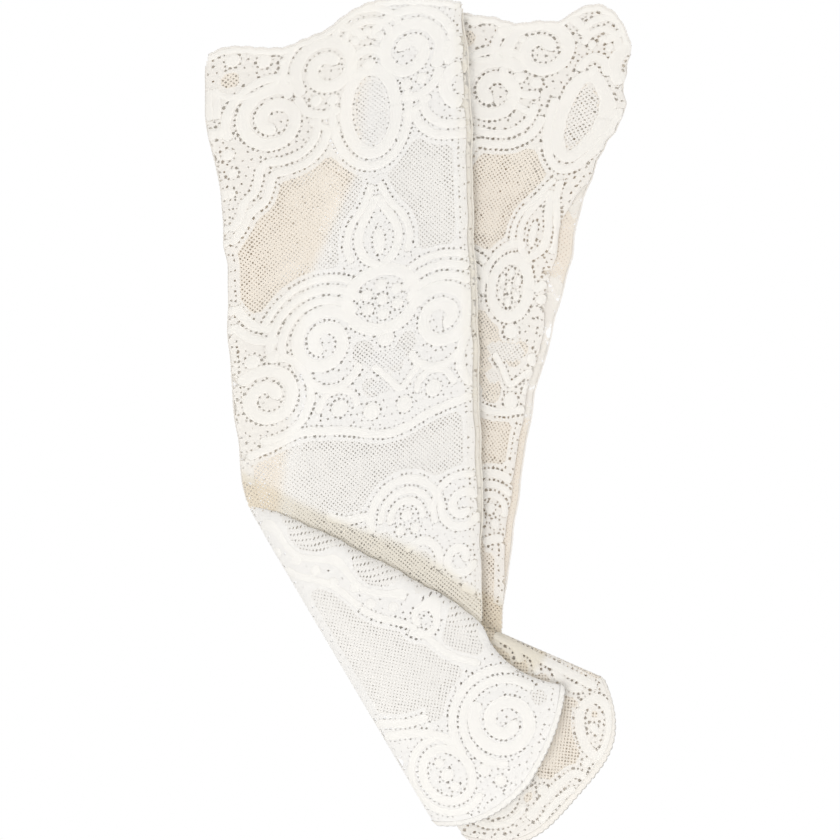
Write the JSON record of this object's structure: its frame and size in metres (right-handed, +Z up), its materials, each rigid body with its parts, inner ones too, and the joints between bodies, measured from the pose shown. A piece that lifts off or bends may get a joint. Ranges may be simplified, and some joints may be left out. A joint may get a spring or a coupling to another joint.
{
  "type": "lace gloves",
  "caption": "Pair of long ivory lace gloves with scalloped cuffs, scroll motifs on net and open finger ends, lying flat with one across the other and creased at the wrist.",
  "frame": {"origin": "on the table under the middle of the pair's box", "axes": "+Z up from the table, +Y towards the cuffs, +X to the right seen from above with the cuffs at the top"},
  "size_m": [0.1812, 0.3552, 0.0185],
  "materials": {
    "ivory_lace": "matte cotton and nylon lace",
    "hem_lace": "doubled lace, matte",
    "seam_thread": "soft spun thread, slight sheen"
  },
  "bodies": {
    "rear_glove": {"rear_cuff_band_upper": "ivory_lace", "rear_cuff_band_under": "ivory_lace", "rear_cuff_edging": "seam_thread", "rear_sleeve_upper": "ivory_lace", "rear_sleeve_under": "ivory_lace", "rear_sleeve_outer_seam": "seam_thread", "rear_sleeve_inner_seam": "seam_thread", "rear_hand_upper": "ivory_lace", "rear_hand_under": "ivory_lace", "rear_hand_outer_seam": "seam_thread", "rear_hand_inner_seam": "seam_thread", "rear_finger_hem_upper": "hem_lace", "rear_finger_hem_under": "hem_lace"},
    "front_sleeve": {"front_cuff_band_upper": "ivory_lace", "front_cuff_band_under": "ivory_lace", "front_cuff_edging": "seam_thread", "front_sleeve_upper": "ivory_lace", "front_sleeve_under": "ivory_lace", "front_sleeve_outer_seam": "seam_thread", "front_sleeve_inner_seam": "seam_thread"},
    "front_hand": {"front_hand_upper": "ivory_lace", "front_hand_under": "ivory_lace", "front_hand_outer_seam": "seam_thread", "front_hand_inner_seam": "seam_thread", "front_finger_hem_upper": "hem_lace", "front_finger_hem_under": "hem_lace"}
  },
  "joints": [
    {"name": "front_glove_lift", "type": "slide", "parent": "rear_glove", "child": "front_sleeve", "axis": [0, 0, 1], "range_m": [0, 0.06]},
    {"name": "front_hand_fold", "type": "hinge", "parent": "front_sleeve", "child": "front_hand", "pos_m": [-0.02133, -0.06081, 0.0181], "axis": [-0.8865, 0.4627, 0], "range_deg": [0, 120]}
  ]
}
